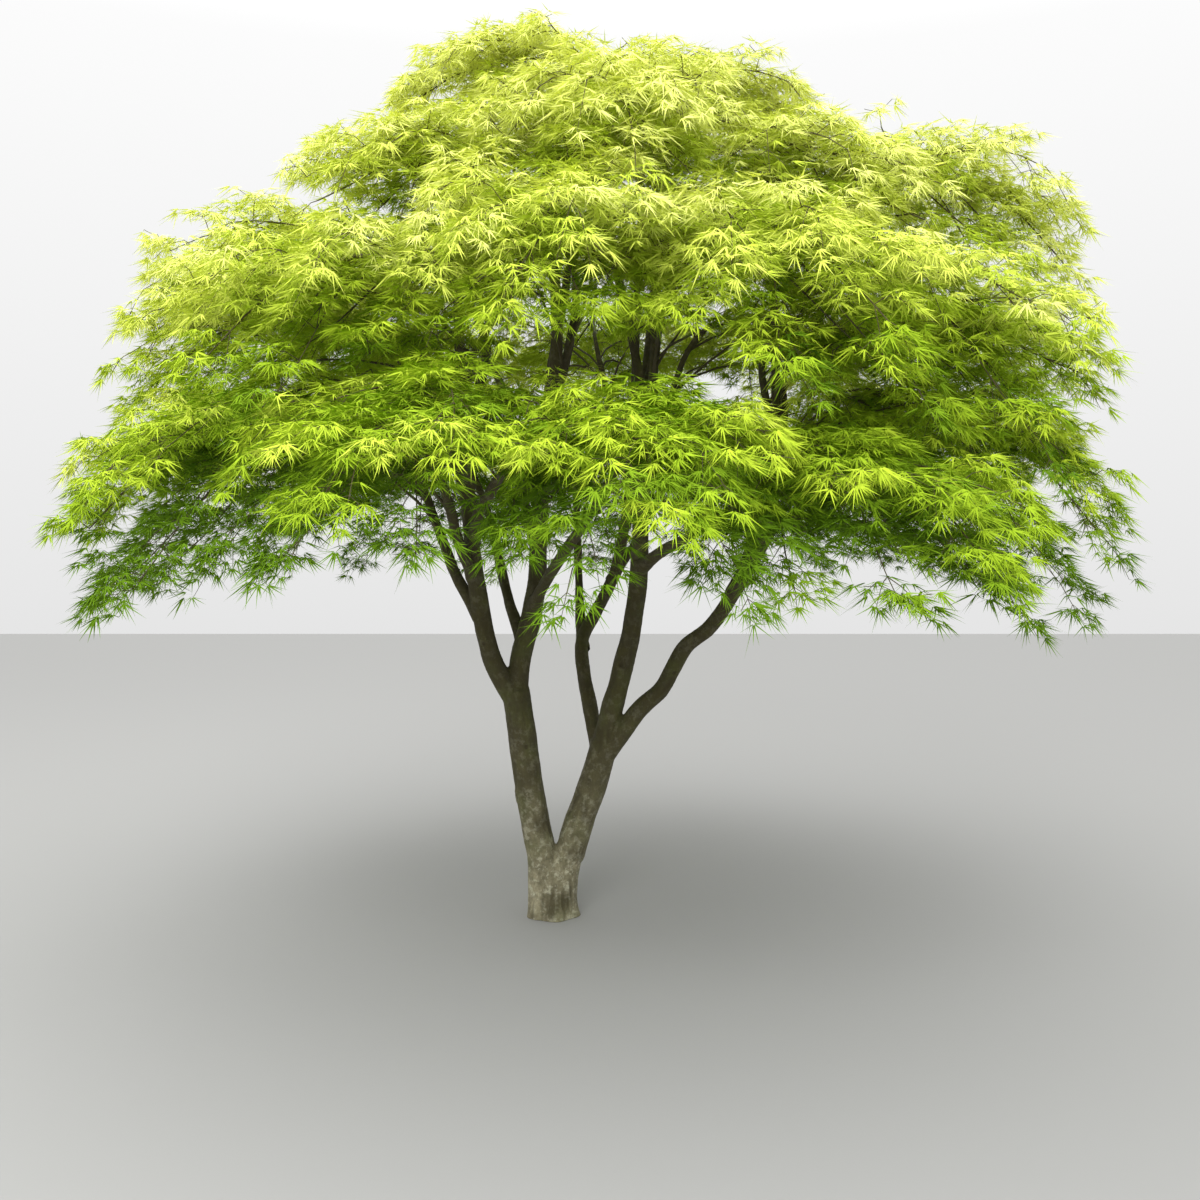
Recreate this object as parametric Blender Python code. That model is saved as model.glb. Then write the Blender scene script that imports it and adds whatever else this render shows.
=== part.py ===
"""A lace-leaf Japanese maple rooted in the ground: a short trunk that forks low into two
stems, limbs and boughs that fan up and out, and a dome of drooping foliage pads.

Metres, +Z up. The origin is the middle of the flat cut at ground level, and -Y is the front.
"""

import math
import random

import bpy
from mathutils import Quaternion, Vector
from mathutils.bvhtree import BVHTree

# Driving dimensions of the wood
FORK_HEIGHT = 0.27
BASE_RADIUS = 0.094
ROOT_FLARE = 0.008
FLARE_HEIGHT = 0.035
STEM_LEFT = {"radius": 0.059, "spread": 0.046}
STEM_RIGHT = {"radius": 0.061, "spread": 0.077}
WAIST_POWER = 4
TAPER_POWER = 1.1
BOUGH_SHARE = 0.72
BOUGH_LARGEST_RADIUS = 0.024
BOUGH_TIP_RADIUS = 0.0085
CROWN_AXIS = Vector((0.18, 0.0, 0.0))

# How a bough leaves its limb: how much it follows the limb and how much it turns outwards,
# against its aim at its pad, then the lengths of its two handles as shares of its span
BOUGH_FOLLOW = 0.38
BOUGH_OUTWARD = 0.45
BOUGH_HANDLES = (0.36, 0.30)

# Clearances: between touching solids, and of twigs and blades from the limbs
GAP = 0.0004
LIMB_CLEARANCE = 0.004

# How finely round pieces are faceted
TRUNK_SIDES = 18
LIMB_SIDES = 7
LIMB_STEP = 0.15
BOUGH_SIDES = 5
BOUGH_STEP = 0.18
TWIG_SIDES = 3

# The twigs of a mass: where its own stem starts in the pad, how far the twigs reach in it, and
# how much nearer to its own pad than to the next one a point has to be
ROOT_PLACE = (-0.84, 0.0, -0.35)
STEM_AIM = (-0.5, 0.0)
HAND_OVER = 0.04
STEM_STEPS = 4
TWIG_REACH = 0.76
TWIG_RADIUS = 0.0062
TWIG_LIMIT = 1.1
SHORTEST_TWIG = 0.3
OWN_MARGIN = 0.03

# The pairs of side twigs part in turn into a lower and an upper sheet, in half thicknesses
SHEET_LIFTS = (-0.65, 0.5)
SHEET_SCATTER = 0.15

# A leaf blade stands for a spray of real leaves; its lobes are angles and shares of its span
BLADE_SPAN = 0.26
BLADE_SIZES = (1.0, 0.93, 0.86, 0.78, 0.70)
BLADES_PER_MASS = 11
BLADE_LOBES = ((0, 1.0), (43, 0.90), (90, 0.66))
BLADE_NOTCH = 0.34
BLADE_HEEL = 0.14
BLADE_DROOP = 0.30
BLADE_THICKNESS = 0.035
BLADE_LIMIT = 1.32
BLADE_TILT = 0.3
BLADE_LEAN = 0.25
BLADE_OUTWARD = 0.35
SIDE_BLADE_TURN = math.radians(62)
SIDE_BLADE_LIFT = 0.25

WOOD = {"colour": (0.20, 0.165, 0.12), "roughness": 0.88}
LEAF = {"colour": (0.36, 0.56, 0.05), "roughness": 0.6}

# The limbs that show below the crown: parent, height where each leaves it, its radius where it
# starts and where it ends, and way points of its middle line. One with no end radius runs on to
# the pad that names it as carrier with no height
LIMBS = {
    "stem_left": (
        None, FORK_HEIGHT, STEM_LEFT["radius"], 0.056,
        ((-0.042, 0.0, 0.24), (-0.068, -0.01, 0.38), (-0.101, -0.02, 0.58), (-0.124, -0.03, 0.77),
         (-0.145, -0.03, 0.92)),
    ),
    "stem_right": (
        None, FORK_HEIGHT, STEM_RIGHT["radius"], 0.056,
        ((0.068, 0.0, 0.24), (0.108, 0.0, 0.38), (0.178, 0.01, 0.58), (0.208, 0.02, 0.70)),
    ),
    "limb_left": (
        "stem_left", 0.85, 0.042, None,
        ((-0.225, -0.05, 1.02), (-0.258, -0.07, 1.14), (-0.278, -0.09, 1.26), (-0.297, -0.13, 1.42),
         (-0.320, -0.15, 1.75)),
    ),
    "limb_inner": (
        "stem_left", 0.88, 0.044, None,
        ((-0.128, -0.01, 1.04), (-0.092, 0.00, 1.18), (-0.062, 0.01, 1.34), (-0.045, 0.02, 1.70),
         (0.020, 0.02, 2.30)),
    ),
    "limb_main": (
        "stem_right", 0.66, 0.046, None,
        ((0.236, 0.00, 0.83), (0.294, -0.01, 1.05), (0.345, -0.02, 1.36), (0.370, 0.00, 2.02)),
    ),
    "limb_outer": (
        "stem_right", 0.60, 0.038, None,
        ((0.352, -0.02, 0.84), (0.436, -0.03, 0.92), (0.484, -0.04, 1.01), (0.536, -0.05, 1.10),
         (0.632, -0.07, 1.18), (0.740, -0.10, 1.35), (0.835, -0.13, 1.53), (0.870, -0.16, 1.90)),
    ),
    "limb_back": (
        "stem_right", 0.63, 0.033, None,
        ((0.149, 0.11, 0.84), (0.118, 0.22, 1.10), (0.250, 0.36, 1.36), (0.330, 0.42, 1.85)),
    ),
}

# The tiers of foliage: fall of a pad from its middle to its outer end, as a share of its half
# length, then sag of its rim and half thickness
TIERS = {
    "front": (0.40, 0.17, 0.22),
    "skirt": (0.25, 0.17, 0.22),
    "low": (0.46, 0.17, 0.32),
    "rear": (0.44, 0.17, 0.35),
    "mid": (0.40, 0.16, 0.31),
    "high": (0.40, 0.15, 0.27),
    "top": (0.14, 0.17, 0.20),
}

# The pads: tier, limb that carries it, height where its bough leaves, then its bearing from the
# crown's axis (0 is the front, 90 the right), distance, height, half length and half width
PADS = {
    "front_low_left": ("front", "limb_left", 1.50, -22, 1.30, 1.92, 0.56, 0.48),
    "front_low_middle": ("front", "limb_inner", 1.24, 5, 1.40, 1.86, 0.50, 0.40),
    "front_low_right": ("skirt", "limb_main", 1.40, 32, 1.38, 1.73, 0.56, 0.44),
    "right_low": ("low", "limb_outer", 1.46, 66, 1.30, 1.93, 0.58, 0.50),
    "right_rear_low": ("rear", "limb_outer", 1.30, 107, 1.30, 1.96, 0.58, 0.52),
    "rear_low_right": ("rear", "limb_back", 1.34, 148, 1.34, 2.00, 0.60, 0.54),
    "rear_low_left": ("rear", "limb_back", 1.06, 189, 1.34, 1.99, 0.60, 0.54),
    "left_rear_low": ("rear", "limb_inner", 1.10, 230, 1.36, 1.96, 0.58, 0.52),
    "left_low": ("low", "limb_left", 1.20, 270, 1.40, 1.98, 0.58, 0.52),
    "left_front_low": ("low", "limb_left", 1.36, 306, 1.34, 1.91, 0.58, 0.47),
    "front_mid_left": ("mid", "limb_left", 1.72, -43, 1.14, 2.38, 0.56, 0.48),
    "front_mid": ("mid", "limb_inner", 1.78, -8, 0.98, 2.54, 0.48, 0.42),
    "front_mid_right": ("mid", "limb_main", 1.72, 27, 1.12, 2.44, 0.58, 0.46),
    "right_mid_front": ("mid", "limb_outer", 1.68, 57, 1.28, 2.31, 0.56, 0.48),
    "right_mid": ("mid", "limb_outer", 1.84, 94, 1.32, 2.34, 0.56, 0.50),
    "right_rear_mid": ("mid", "limb_back", 1.56, 136, 1.22, 2.50, 0.58, 0.56),
    "rear_mid": ("mid", "limb_back", 1.74, 181, 1.18, 2.50, 0.56, 0.56),
    "left_rear_mid": ("mid", "limb_inner", 1.50, 227, 1.22, 2.40, 0.56, 0.54),
    "left_mid": ("mid", "limb_left", 1.70, 272, 1.27, 2.38, 0.56, 0.54),
    "high_front": ("high", "limb_main", 1.98, 6, 0.70, 2.96, 0.50, 0.44),
    "high_right": ("high", "limb_main", 2.08, 54, 0.84, 2.84, 0.52, 0.44),
    "right_shoulder": ("high", "limb_outer", None, 86, 1.28, 2.91, 0.56, 0.48),
    "high_rear_right": ("high", "limb_back", None, 138, 0.84, 2.90, 0.54, 0.52),
    "high_rear_left": ("high", "limb_inner", 1.92, 214, 0.78, 2.90, 0.54, 0.52),
    "high_left": ("high", "limb_left", None, 273, 1.18, 2.66, 0.58, 0.48),
    "high_front_left": ("high", "limb_left", 2.05, -48, 0.74, 2.88, 0.50, 0.42),
    "top_left": ("top", "limb_main", None, 285, 0.24, 3.34, 0.50, 0.46),
    "top_right": ("top", "limb_inner", None, 92, 0.34, 3.30, 0.50, 0.46),
}


def smooth_line(points, step):
    """Points about a step apart on the Catmull-Rom curve through the given points."""
    ends = [2 * points[0] - points[1], *points, 2 * points[-1] - points[-2]]
    line = []
    for a, b, c, d in zip(ends, ends[1:], ends[2:], ends[3:]):
        count = max(1, round((c - b).length / step))
        for k in range(count):
            t = k / count
            line.append(
                0.5 * (2 * b + (c - a) * t + (2 * a - 5 * b + 4 * c - d) * t**2
                       + (3 * b - a - 3 * c + d) * t**3)
            )
    return [*line, points[-1]]


def tube(line, radii, sides):
    """Vertices and faces of a closed tube along a line, its rings turned as little as it can be."""
    way = (line[1] - line[0]).normalized()
    side = way.orthogonal().normalized()
    points, faces = [], []
    for k, (middle, radius) in enumerate(zip(line, radii)):
        ahead = line[min(k + 1, len(line) - 1)] - line[max(k - 1, 0)]
        side = way.rotation_difference(ahead) @ side
        way = ahead.normalized()
        across = way.cross(side)
        for j in range(sides):
            angle = math.tau * j / sides
            points.append(middle + radius * (math.cos(angle) * side + math.sin(angle) * across))
    for k in range(len(line) - 1):
        for j in range(sides):
            here, there = k * sides, k * sides + sides
            after = (j + 1) % sides
            faces.append((here + j, here + after, there + after, there + j))
    last = (len(line) - 1) * sides
    faces.append(tuple(reversed(range(sides))))
    faces.append(tuple(range(last, last + sides)))
    return points, faces


def material(name, look):
    made = bpy.data.materials.new(name)
    made.use_nodes = True
    shader = made.node_tree.nodes["Principled BSDF"]
    shader.inputs["Base Color"].default_value = (*look["colour"], 1)
    shader.inputs["Roughness"].default_value = look["roughness"]
    shader.inputs["Metallic"].default_value = 0.0
    return made


def add_solid(name, shape, finish):
    mesh = bpy.data.meshes.new(name)
    mesh.from_pydata(shape[0], [], shape[1])
    mesh.materials.append(finish)
    solid = bpy.data.objects.new(name, mesh)
    bpy.context.scene.collection.objects.link(solid)
    return solid


def settle(solid, helpers):
    """Applies the solid's Booleans and removes the pieces that they used."""
    graph = bpy.context.evaluated_depsgraph_get()
    mesh = bpy.data.meshes.new_from_object(solid.evaluated_get(graph))
    solid.modifiers.clear()
    solid.data = mesh
    for helper in helpers:
        bpy.data.objects.remove(helper)


def cut_away(solid, shapes):
    """Cuts the given shapes from a solid."""
    cutters = [add_solid(f"{solid.name}_cutter_{k}", shape, None) for k, shape in enumerate(shapes)]
    for cutter in cutters:
        cutter.hide_render = True
        cutter.display_type = "WIRE"
        cut = solid.modifiers.new("cut", "BOOLEAN")
        cut.operation = "DIFFERENCE"
        cut.solver = "EXACT"
        cut.object = cutter
    settle(solid, cutters)


def join_all(solid, shapes, finish):
    """Unites a solid with the given shapes, which all overlap it or each other."""
    group = bpy.data.collections.new(f"{solid.name}_parts")
    bpy.context.scene.collection.children.link(group)
    helpers = []
    for k, shape in enumerate(shapes):
        helper = add_solid(f"{solid.name}_part_{k}", shape, finish)
        bpy.context.scene.collection.objects.unlink(helper)
        group.objects.link(helper)
        helpers.append(helper)
    union = solid.modifiers.new("union", "BOOLEAN")
    union.operation = "UNION"
    union.solver = "EXACT"
    union.operand_type = "COLLECTION"
    union.collection = group
    settle(solid, helpers)
    bpy.data.collections.remove(group)


class Limb:
    """A tapering limb along a line, with the radius at every point of the line."""

    def __init__(self, line, start_radius, end_radius, sides):
        self.line = line
        self.sides = sides
        last = len(line) - 1
        self.radii = [start_radius + (end_radius - start_radius) * (k / last) ** TAPER_POWER for k in range(last + 1)]

    def shape(self, grown=0.0):
        """The limb's tube, or one that stands a little proud of it on all sides."""
        line = list(self.line)
        line[0] = line[0] - grown * (line[1] - line[0]).normalized()
        line[-1] = line[-1] + grown * (line[-1] - line[-2]).normalized()
        return tube(line, [radius + grown for radius in self.radii], self.sides)

    def at_height(self, height):
        """The point of the middle line at a height, the way it runs there and its radius."""
        for a, b, radius in zip(self.line, self.line[1:], self.radii):
            if b.z >= height:
                share = (height - a.z) / (b.z - a.z)
                return a.lerp(b, max(0.0, share)), (b - a).normalized(), radius
        return self.line[-1], (self.line[-1] - self.line[-2]).normalized(), self.radii[-1]


class Pad:
    """The space of one mass of foliage: an arched oval that slopes outwards and sags at its rim."""

    def __init__(self, tier, bearing, distance, height, length, width):
        self.fall, self.sag, self.depth = TIERS[tier]
        angle = math.radians(bearing)
        self.out = Vector((math.sin(angle), -math.cos(angle), 0.0))
        self.side = Vector((math.cos(angle), math.sin(angle), 0.0))
        self.middle = CROWN_AXIS + self.out * distance + Vector((0.0, 0.0, height))
        self.length = length
        self.width = width

    def drop(self, p, q):
        return self.fall * self.length * p + self.sag * (p * p + q * q)

    def point(self, p, q, lift=0.0):
        """p runs outwards and q across, each -1 to 1 at the rim; lift is in half thicknesses."""
        rise = Vector((0.0, 0.0, self.depth * lift - self.drop(p, q)))
        return self.middle + self.out * (self.length * p) + self.side * (self.width * q) + rise

    def measure(self, point):
        """How far out of the pad's middle a point lies: 1 is the edge of its space."""
        offset = point - self.middle
        p = offset.dot(self.out) / self.length
        q = offset.dot(self.side) / self.width
        lift = (offset.z + self.drop(p, q)) / self.depth
        return math.sqrt(p * p + q * q + 0.5 * lift * lift)

    def root(self):
        """Where the bough hands over to the mass's own stem, and the way both run there."""
        place = self.point(*ROOT_PLACE)
        return place, (self.point(*STEM_AIM) - place).normalized()


def trunk_shape():
    """Rings of the trunk, from a flared foot at the ground to the waist where the stems part."""
    heights = (0.0, 0.018, 0.05, 0.12, 0.18, 0.22, 0.25, FORK_HEIGHT - GAP)
    points, faces = [], []
    for height in heights:
        share = height / FORK_HEIGHT
        for j in range(TRUNK_SIDES):
            angle = math.tau * j / TRUNK_SIDES
            flare = ROOT_FLARE * math.exp(-height / FLARE_HEIGHT) * (1 + 0.8 * math.cos(5 * angle + 0.6))
            foot = BASE_RADIUS * (1 + 0.05 * math.cos(2 * angle)) + flare
            stem = STEM_RIGHT if math.cos(angle) > 0 else STEM_LEFT
            across = stem["spread"] * math.sin(angle)
            along = stem["spread"] * abs(math.cos(angle))
            waist = along + math.sqrt(max(0.0, stem["radius"] ** 2 - across**2))
            radius = foot + (waist - foot) * share**WAIST_POWER
            points.append(Vector((radius * math.cos(angle), radius * math.sin(angle), height)))
    rings = len(heights)
    for k in range(rings - 1):
        for j in range(TRUNK_SIDES):
            here, there = k * TRUNK_SIDES, (k + 1) * TRUNK_SIDES
            after = (j + 1) % TRUNK_SIDES
            faces.append((here + j, here + after, there + after, there + j))
    faces.append(tuple(reversed(range(TRUNK_SIDES))))
    faces.append(tuple(range((rings - 1) * TRUNK_SIDES, rings * TRUNK_SIDES)))
    return points, faces


def blade(middle, way, normal, span):
    """A spray of leaves as one thin, drooping palm of pointed lobes."""
    side = normal.cross(way).normalized()
    up = way.cross(side).normalized()
    lobes = [(-angle, reach) for angle, reach in BLADE_LOBES[:0:-1]] + list(BLADE_LOBES)
    outline = []
    for (angle, reach), following in zip(lobes, [*lobes[1:], None]):
        outline.append((math.radians(angle), span * reach, BLADE_DROOP * span * reach))
        if following:
            outline.append((math.radians(angle + following[0]) / 2, span * BLADE_NOTCH, 0.0))
    outline.append((math.pi, span * BLADE_HEEL, 0.0))
    points = [
        middle + radius * (math.cos(angle) * way + math.sin(angle) * side) - drop * up
        for angle, radius, drop in outline
    ]
    half = BLADE_THICKNESS * span / 2
    points += [middle + half * up, middle - half * up]
    count = len(outline)
    faces = []
    for k in range(count):
        after = (k + 1) % count
        faces += [(k, after, count), (after, k, count + 1)]
    return points, faces


def block_below(height):
    """A block that takes away all that lies under the given height near the trunk."""
    square = ((-1, -1), (1, -1), (1, 1), (-1, 1))
    corners = [Vector((x, y, z)) for z in (height - 0.2, height) for x, y in square]
    sides = [(k, (k + 1) % 4, (k + 1) % 4 + 4, k + 4) for k in range(4)]
    return corners, [(3, 2, 1, 0), (4, 5, 6, 7), *sides]


def tree_of(shape):
    return BVHTree.FromPolygons([tuple(point) for point in shape[0]], shape[1])


class Mass:
    """Grows one mass of foliage inside its pad, by pairs of side twigs along a middle twig."""

    def __init__(self, name, pad, others, obstacles):
        self.rng = random.Random(name)
        self.pad = pad
        self.others = others
        self.obstacles = obstacles
        self.shapes = []
        self.blades = []

    def inside(self, points, reach):
        """True if the points are in this mass's own space and in no neighbour's."""
        for point in points:
            own = self.pad.measure(point)
            if own > reach or any(other.measure(point) < own + OWN_MARGIN for other in self.others):
                return False
        return True

    def clear(self, shape, blocks):
        tree = tree_of(shape)
        return not any(tree.overlap(block) for block in blocks)

    def add_twig(self, line, radii):
        """Adds a twig if it keeps to its space and touches no limb."""
        shape = tube(line, radii, TWIG_SIDES)
        if not self.inside(line[1:], TWIG_LIMIT) or not self.clear(shape, self.obstacles):
            return False
        self.shapes.append(shape)
        return True

    def add_blade(self, line, k, own_twig):
        """Adds a blade at point k of a twig, smaller where it would leave its space or touch anything."""
        way = (line[k] - line[k - 1]).normalized()
        out = way + BLADE_OUTWARD * (line[k] - self.pad.middle).normalized()
        if k < len(line) - 1:
            turn = self.rng.choice((-1, 1)) * SIDE_BLADE_TURN
            out = Quaternion((0, 0, 1), turn) @ out + Vector((0, 0, SIDE_BLADE_LIFT))
        near = [tree_of(other) for at, other in enumerate(self.shapes) if at != own_twig]
        for size in BLADE_SIZES:
            tilt = [self.rng.uniform(-BLADE_TILT, BLADE_TILT) for _ in range(2)]
            normal = Vector((*tilt, 1.0)) + BLADE_LEAN * self.pad.out
            shape = blade(line[k], out.normalized(), normal, BLADE_SPAN * size)
            if self.inside(shape[0], BLADE_LIMIT) and self.clear(shape, self.obstacles + near + self.blades):
                self.blades.append(tree_of(shape))
                self.shapes.append(shape)
                return

    def side_twig(self, p, hand, k):
        """Where a side twig that leaves the middle twig at p ends, or None where it has no room."""
        lean = math.radians(self.rng.uniform(52, 66) - 4 * k)
        lift = SHEET_LIFTS[k % 2] + self.rng.uniform(-SHEET_SCATTER, SHEET_SCATTER)
        rim = TWIG_REACH * self.rng.uniform(0.94, 1.05)
        across, along = hand * math.sin(lean), math.cos(lean)
        run = -p * along + math.sqrt(max(0.0, rim**2 - (p * across) ** 2))
        return self.pad.point(p + along * run, across * run, lift) if run > SHORTEST_TWIG else None

    def grow(self):
        """The mass's shapes: its middle twig first, then side twigs in pairs, then the blades."""
        start = ROOT_PLACE[0]
        stations = [start + (TWIG_REACH - start) * k / STEM_STEPS for k in range(STEM_STEPS + 1)]
        root, way = self.pad.root()
        stem = [root + HAND_OVER * way]
        for p in stations[1:]:
            stem.append(self.pad.point(p, self.rng.uniform(-0.07, 0.07), self.rng.uniform(-0.1, 0.25)))
        radii = [TWIG_RADIUS * (1 - 0.45 * k / STEM_STEPS) for k in range(STEM_STEPS + 1)]
        self.shapes.append(tube([root + GAP * way, *stem], [radii[0], *radii], TWIG_SIDES))
        tips = [(stem, STEM_STEPS, 0)]
        inner = [(stem, STEM_STEPS - 1, 0), (stem, STEM_STEPS - 2, 0)]
        for k in range(1, STEM_STEPS):
            for hand in (-1, 1):
                tip = self.side_twig(stations[k], hand, k)
                if tip and self.add_twig([stem[k], tip], [radii[k] * 0.8, TWIG_RADIUS * 0.4]):
                    line = [stem[k], stem[k].lerp(tip, 0.55), tip]
                    tips.append((line, 2, len(self.shapes) - 1))
                    inner.append((line, 1, len(self.shapes) - 1))
        for place in tips + inner:
            if len(self.blades) < BLADES_PER_MASS:
                self.add_blade(*place)
        return self.shapes


def bough_line(limb, height, pad):
    """A bough's middle line, from inside its limb to the root of its pad, rising then levelling."""
    start, way, radius = limb.at_height(height)
    root, arrive = pad.root()
    end = root - HAND_OVER * arrive
    span = (end - start).length
    leave = (way * BOUGH_FOLLOW + (end - start).normalized() + pad.out * BOUGH_OUTWARD).normalized()
    first, second = BOUGH_HANDLES
    handles = start, start + leave * span * first, end - arrive * span * second, end
    count = max(3, round(span / BOUGH_STEP))
    line = []
    for k in range(count + 1):
        t = k / count
        a, b, c, d = handles
        line.append((1 - t) ** 3 * a + 3 * (1 - t) ** 2 * t * b + 3 * (1 - t) * t * t * c + t**3 * d)
    return [*line, root], radius


def near_each_other(first, second):
    """True if the boxes around two limbs meet."""
    return all(
        min(p[i] for p in first.line) - 0.1 < max(p[i] for p in second.line)
        and min(p[i] for p in second.line) - 0.1 < max(p[i] for p in first.line)
        for i in range(3)
    )


def make_limbs(pads):
    """All the limbs by name: the stems, the five leading limbs and a bough for each other pad."""
    limbs = {}
    ends = {row[1]: pads[name] for name, row in PADS.items() if row[2] is None}
    for name, (parent, leaves, radius, end_radius, way_points) in LIMBS.items():
        points = [Vector(point) for point in way_points]
        if parent:
            points.insert(0, limbs[parent].at_height(leaves)[0])
            root, arrive = ends[name].root()
            points += [root - arrive * 0.14, root - arrive * HAND_OVER]
            end_radius = BOUGH_TIP_RADIUS
            limbs[name] = Limb([*smooth_line(points, LIMB_STEP), root], radius, end_radius, LIMB_SIDES)
        else:
            limbs[name] = Limb(smooth_line(points, LIMB_STEP), radius, end_radius, LIMB_SIDES)
    for name, (_, carrier, leaves, *_) in PADS.items():
        if leaves:
            line, radius = bough_line(limbs[carrier], leaves, pads[name])
            start = min(radius * BOUGH_SHARE, BOUGH_LARGEST_RADIUS)
            limbs[f"bough_{name}"] = Limb(line, start, BOUGH_TIP_RADIUS, BOUGH_SIDES)
    return limbs


def main():
    for old in list(bpy.data.objects):
        bpy.data.objects.remove(old)
    bark = material("bark", WOOD)
    foliage = material("foliage", LEAF)
    pads = {name: Pad(tier, *place) for name, (tier, _, _, *place) in PADS.items()}
    limbs = make_limbs(pads)

    trunk = add_solid("trunk", trunk_shape(), bark)
    solids = [trunk]
    done = []
    for name, limb in limbs.items():
        solid = add_solid(name, limb.shape(), bark)
        cutters = [other.shape(GAP) for other in done if near_each_other(limb, other)]
        if name in ("stem_left", "stem_right"):
            cutters.append(block_below(FORK_HEIGHT))
        if cutters:
            cut_away(solid, cutters)
        done.append(limb)
        solids.append(solid)

    obstacles = [tree_of(limb.shape(LIMB_CLEARANCE)) for limb in limbs.values()]
    for name, pad in pads.items():
        others = [other for other in pads.values() if other is not pad]
        mass = Mass(name, pad, others, obstacles)
        shapes = mass.grow()
        solid = add_solid(f"foliage_{name}", shapes[0], foliage)
        join_all(solid, shapes[1:], foliage)
        solids.append(solid)

    for solid in solids:
        solid.data.shade_smooth()
        solid.data.set_sharp_from_angle(angle=math.radians(40))


main()
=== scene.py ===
# Dresses a rooted lace-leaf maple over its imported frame: bark with its relief on the trunk, limbs
# and boughs, then the twigs and leaves that grow on from them, one mass of foliage at a time.
import math

import bmesh
import bpy
import numpy as np
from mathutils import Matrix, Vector, noise
from mathutils.kdtree import KDTree


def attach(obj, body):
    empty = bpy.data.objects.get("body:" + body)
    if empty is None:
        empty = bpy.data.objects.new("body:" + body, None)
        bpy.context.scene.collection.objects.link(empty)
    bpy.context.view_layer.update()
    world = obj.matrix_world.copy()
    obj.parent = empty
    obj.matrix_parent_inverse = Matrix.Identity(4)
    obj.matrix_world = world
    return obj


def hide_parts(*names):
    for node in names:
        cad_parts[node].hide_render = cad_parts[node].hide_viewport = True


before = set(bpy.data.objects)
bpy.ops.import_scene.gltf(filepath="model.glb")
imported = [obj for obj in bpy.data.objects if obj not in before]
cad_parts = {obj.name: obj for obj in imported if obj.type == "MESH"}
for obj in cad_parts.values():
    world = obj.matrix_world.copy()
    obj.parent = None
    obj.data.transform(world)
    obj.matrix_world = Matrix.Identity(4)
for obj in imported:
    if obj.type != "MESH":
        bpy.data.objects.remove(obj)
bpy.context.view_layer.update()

up = np.array((0.0, 0.0, 1.0))

# The wood as the source grows it, in metres. Each limb has what carries it, the height where it
# leaves, its first and last radius, and the points on its way.
woodPlan = {
    "forkHeight": 0.27,
    "baseRadius": 0.094,
    "rootFlare": 0.008,
    "flareHeight": 0.035,
    "rootBays": (0.8, 5, 0.6),  # depth, count and turn of the bays between the roots
    "footOval": 0.05,
    "stemRadius": {"left": 0.059, "right": 0.061},
    "stemSpread": {"left": 0.046, "right": 0.077},
    "waistPower": 4,
    "taperPower": 1.1,
    "boughShare": 0.72,
    "boughLargest": 0.024,
    "boughTip": 0.0085,
    "boughLeave": (0.38, 0.45),  # how much a bough follows its limb and turns outwards
    "boughHandles": (0.36, 0.30),
    "approach": 0.14,  # how far before its pad's root a limb heads into the pad
    "handOver": 0.04,  # and the length of its last straight stretch, and of the first twig's
    "limbStep": 0.15,
    "boughStep": 0.18,
}
limbPlan = {
    "stem_left": (None, 0.27, 0.059, 0.056, (
        (-0.042, 0.0, 0.24), (-0.068, -0.01, 0.38), (-0.101, -0.02, 0.58), (-0.124, -0.03, 0.77),
        (-0.145, -0.03, 0.92))),
    "stem_right": (None, 0.27, 0.061, 0.056, (
        (0.068, 0.0, 0.24), (0.108, 0.0, 0.38), (0.178, 0.01, 0.58), (0.208, 0.02, 0.70))),
    "limb_left": ("stem_left", 0.85, 0.042, None, (
        (-0.225, -0.05, 1.02), (-0.258, -0.07, 1.14), (-0.278, -0.09, 1.26), (-0.297, -0.13, 1.42),
        (-0.320, -0.15, 1.75))),
    "limb_inner": ("stem_left", 0.88, 0.044, None, (
        (-0.128, -0.01, 1.04), (-0.092, 0.0, 1.18), (-0.062, 0.01, 1.34), (-0.045, 0.02, 1.70),
        (0.020, 0.02, 2.30))),
    "limb_main": ("stem_right", 0.66, 0.046, None, (
        (0.236, 0.0, 0.83), (0.294, -0.01, 1.05), (0.345, -0.02, 1.36), (0.370, 0.0, 2.02))),
    "limb_outer": ("stem_right", 0.60, 0.038, None, (
        (0.352, -0.02, 0.84), (0.436, -0.03, 0.92), (0.484, -0.04, 1.01), (0.536, -0.05, 1.10),
        (0.632, -0.07, 1.18), (0.740, -0.10, 1.35), (0.835, -0.13, 1.53), (0.870, -0.16, 1.90))),
    "limb_back": ("stem_right", 0.63, 0.033, None, (
        (0.149, 0.11, 0.84), (0.118, 0.22, 1.10), (0.250, 0.36, 1.36), (0.330, 0.42, 1.85))),
}

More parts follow.
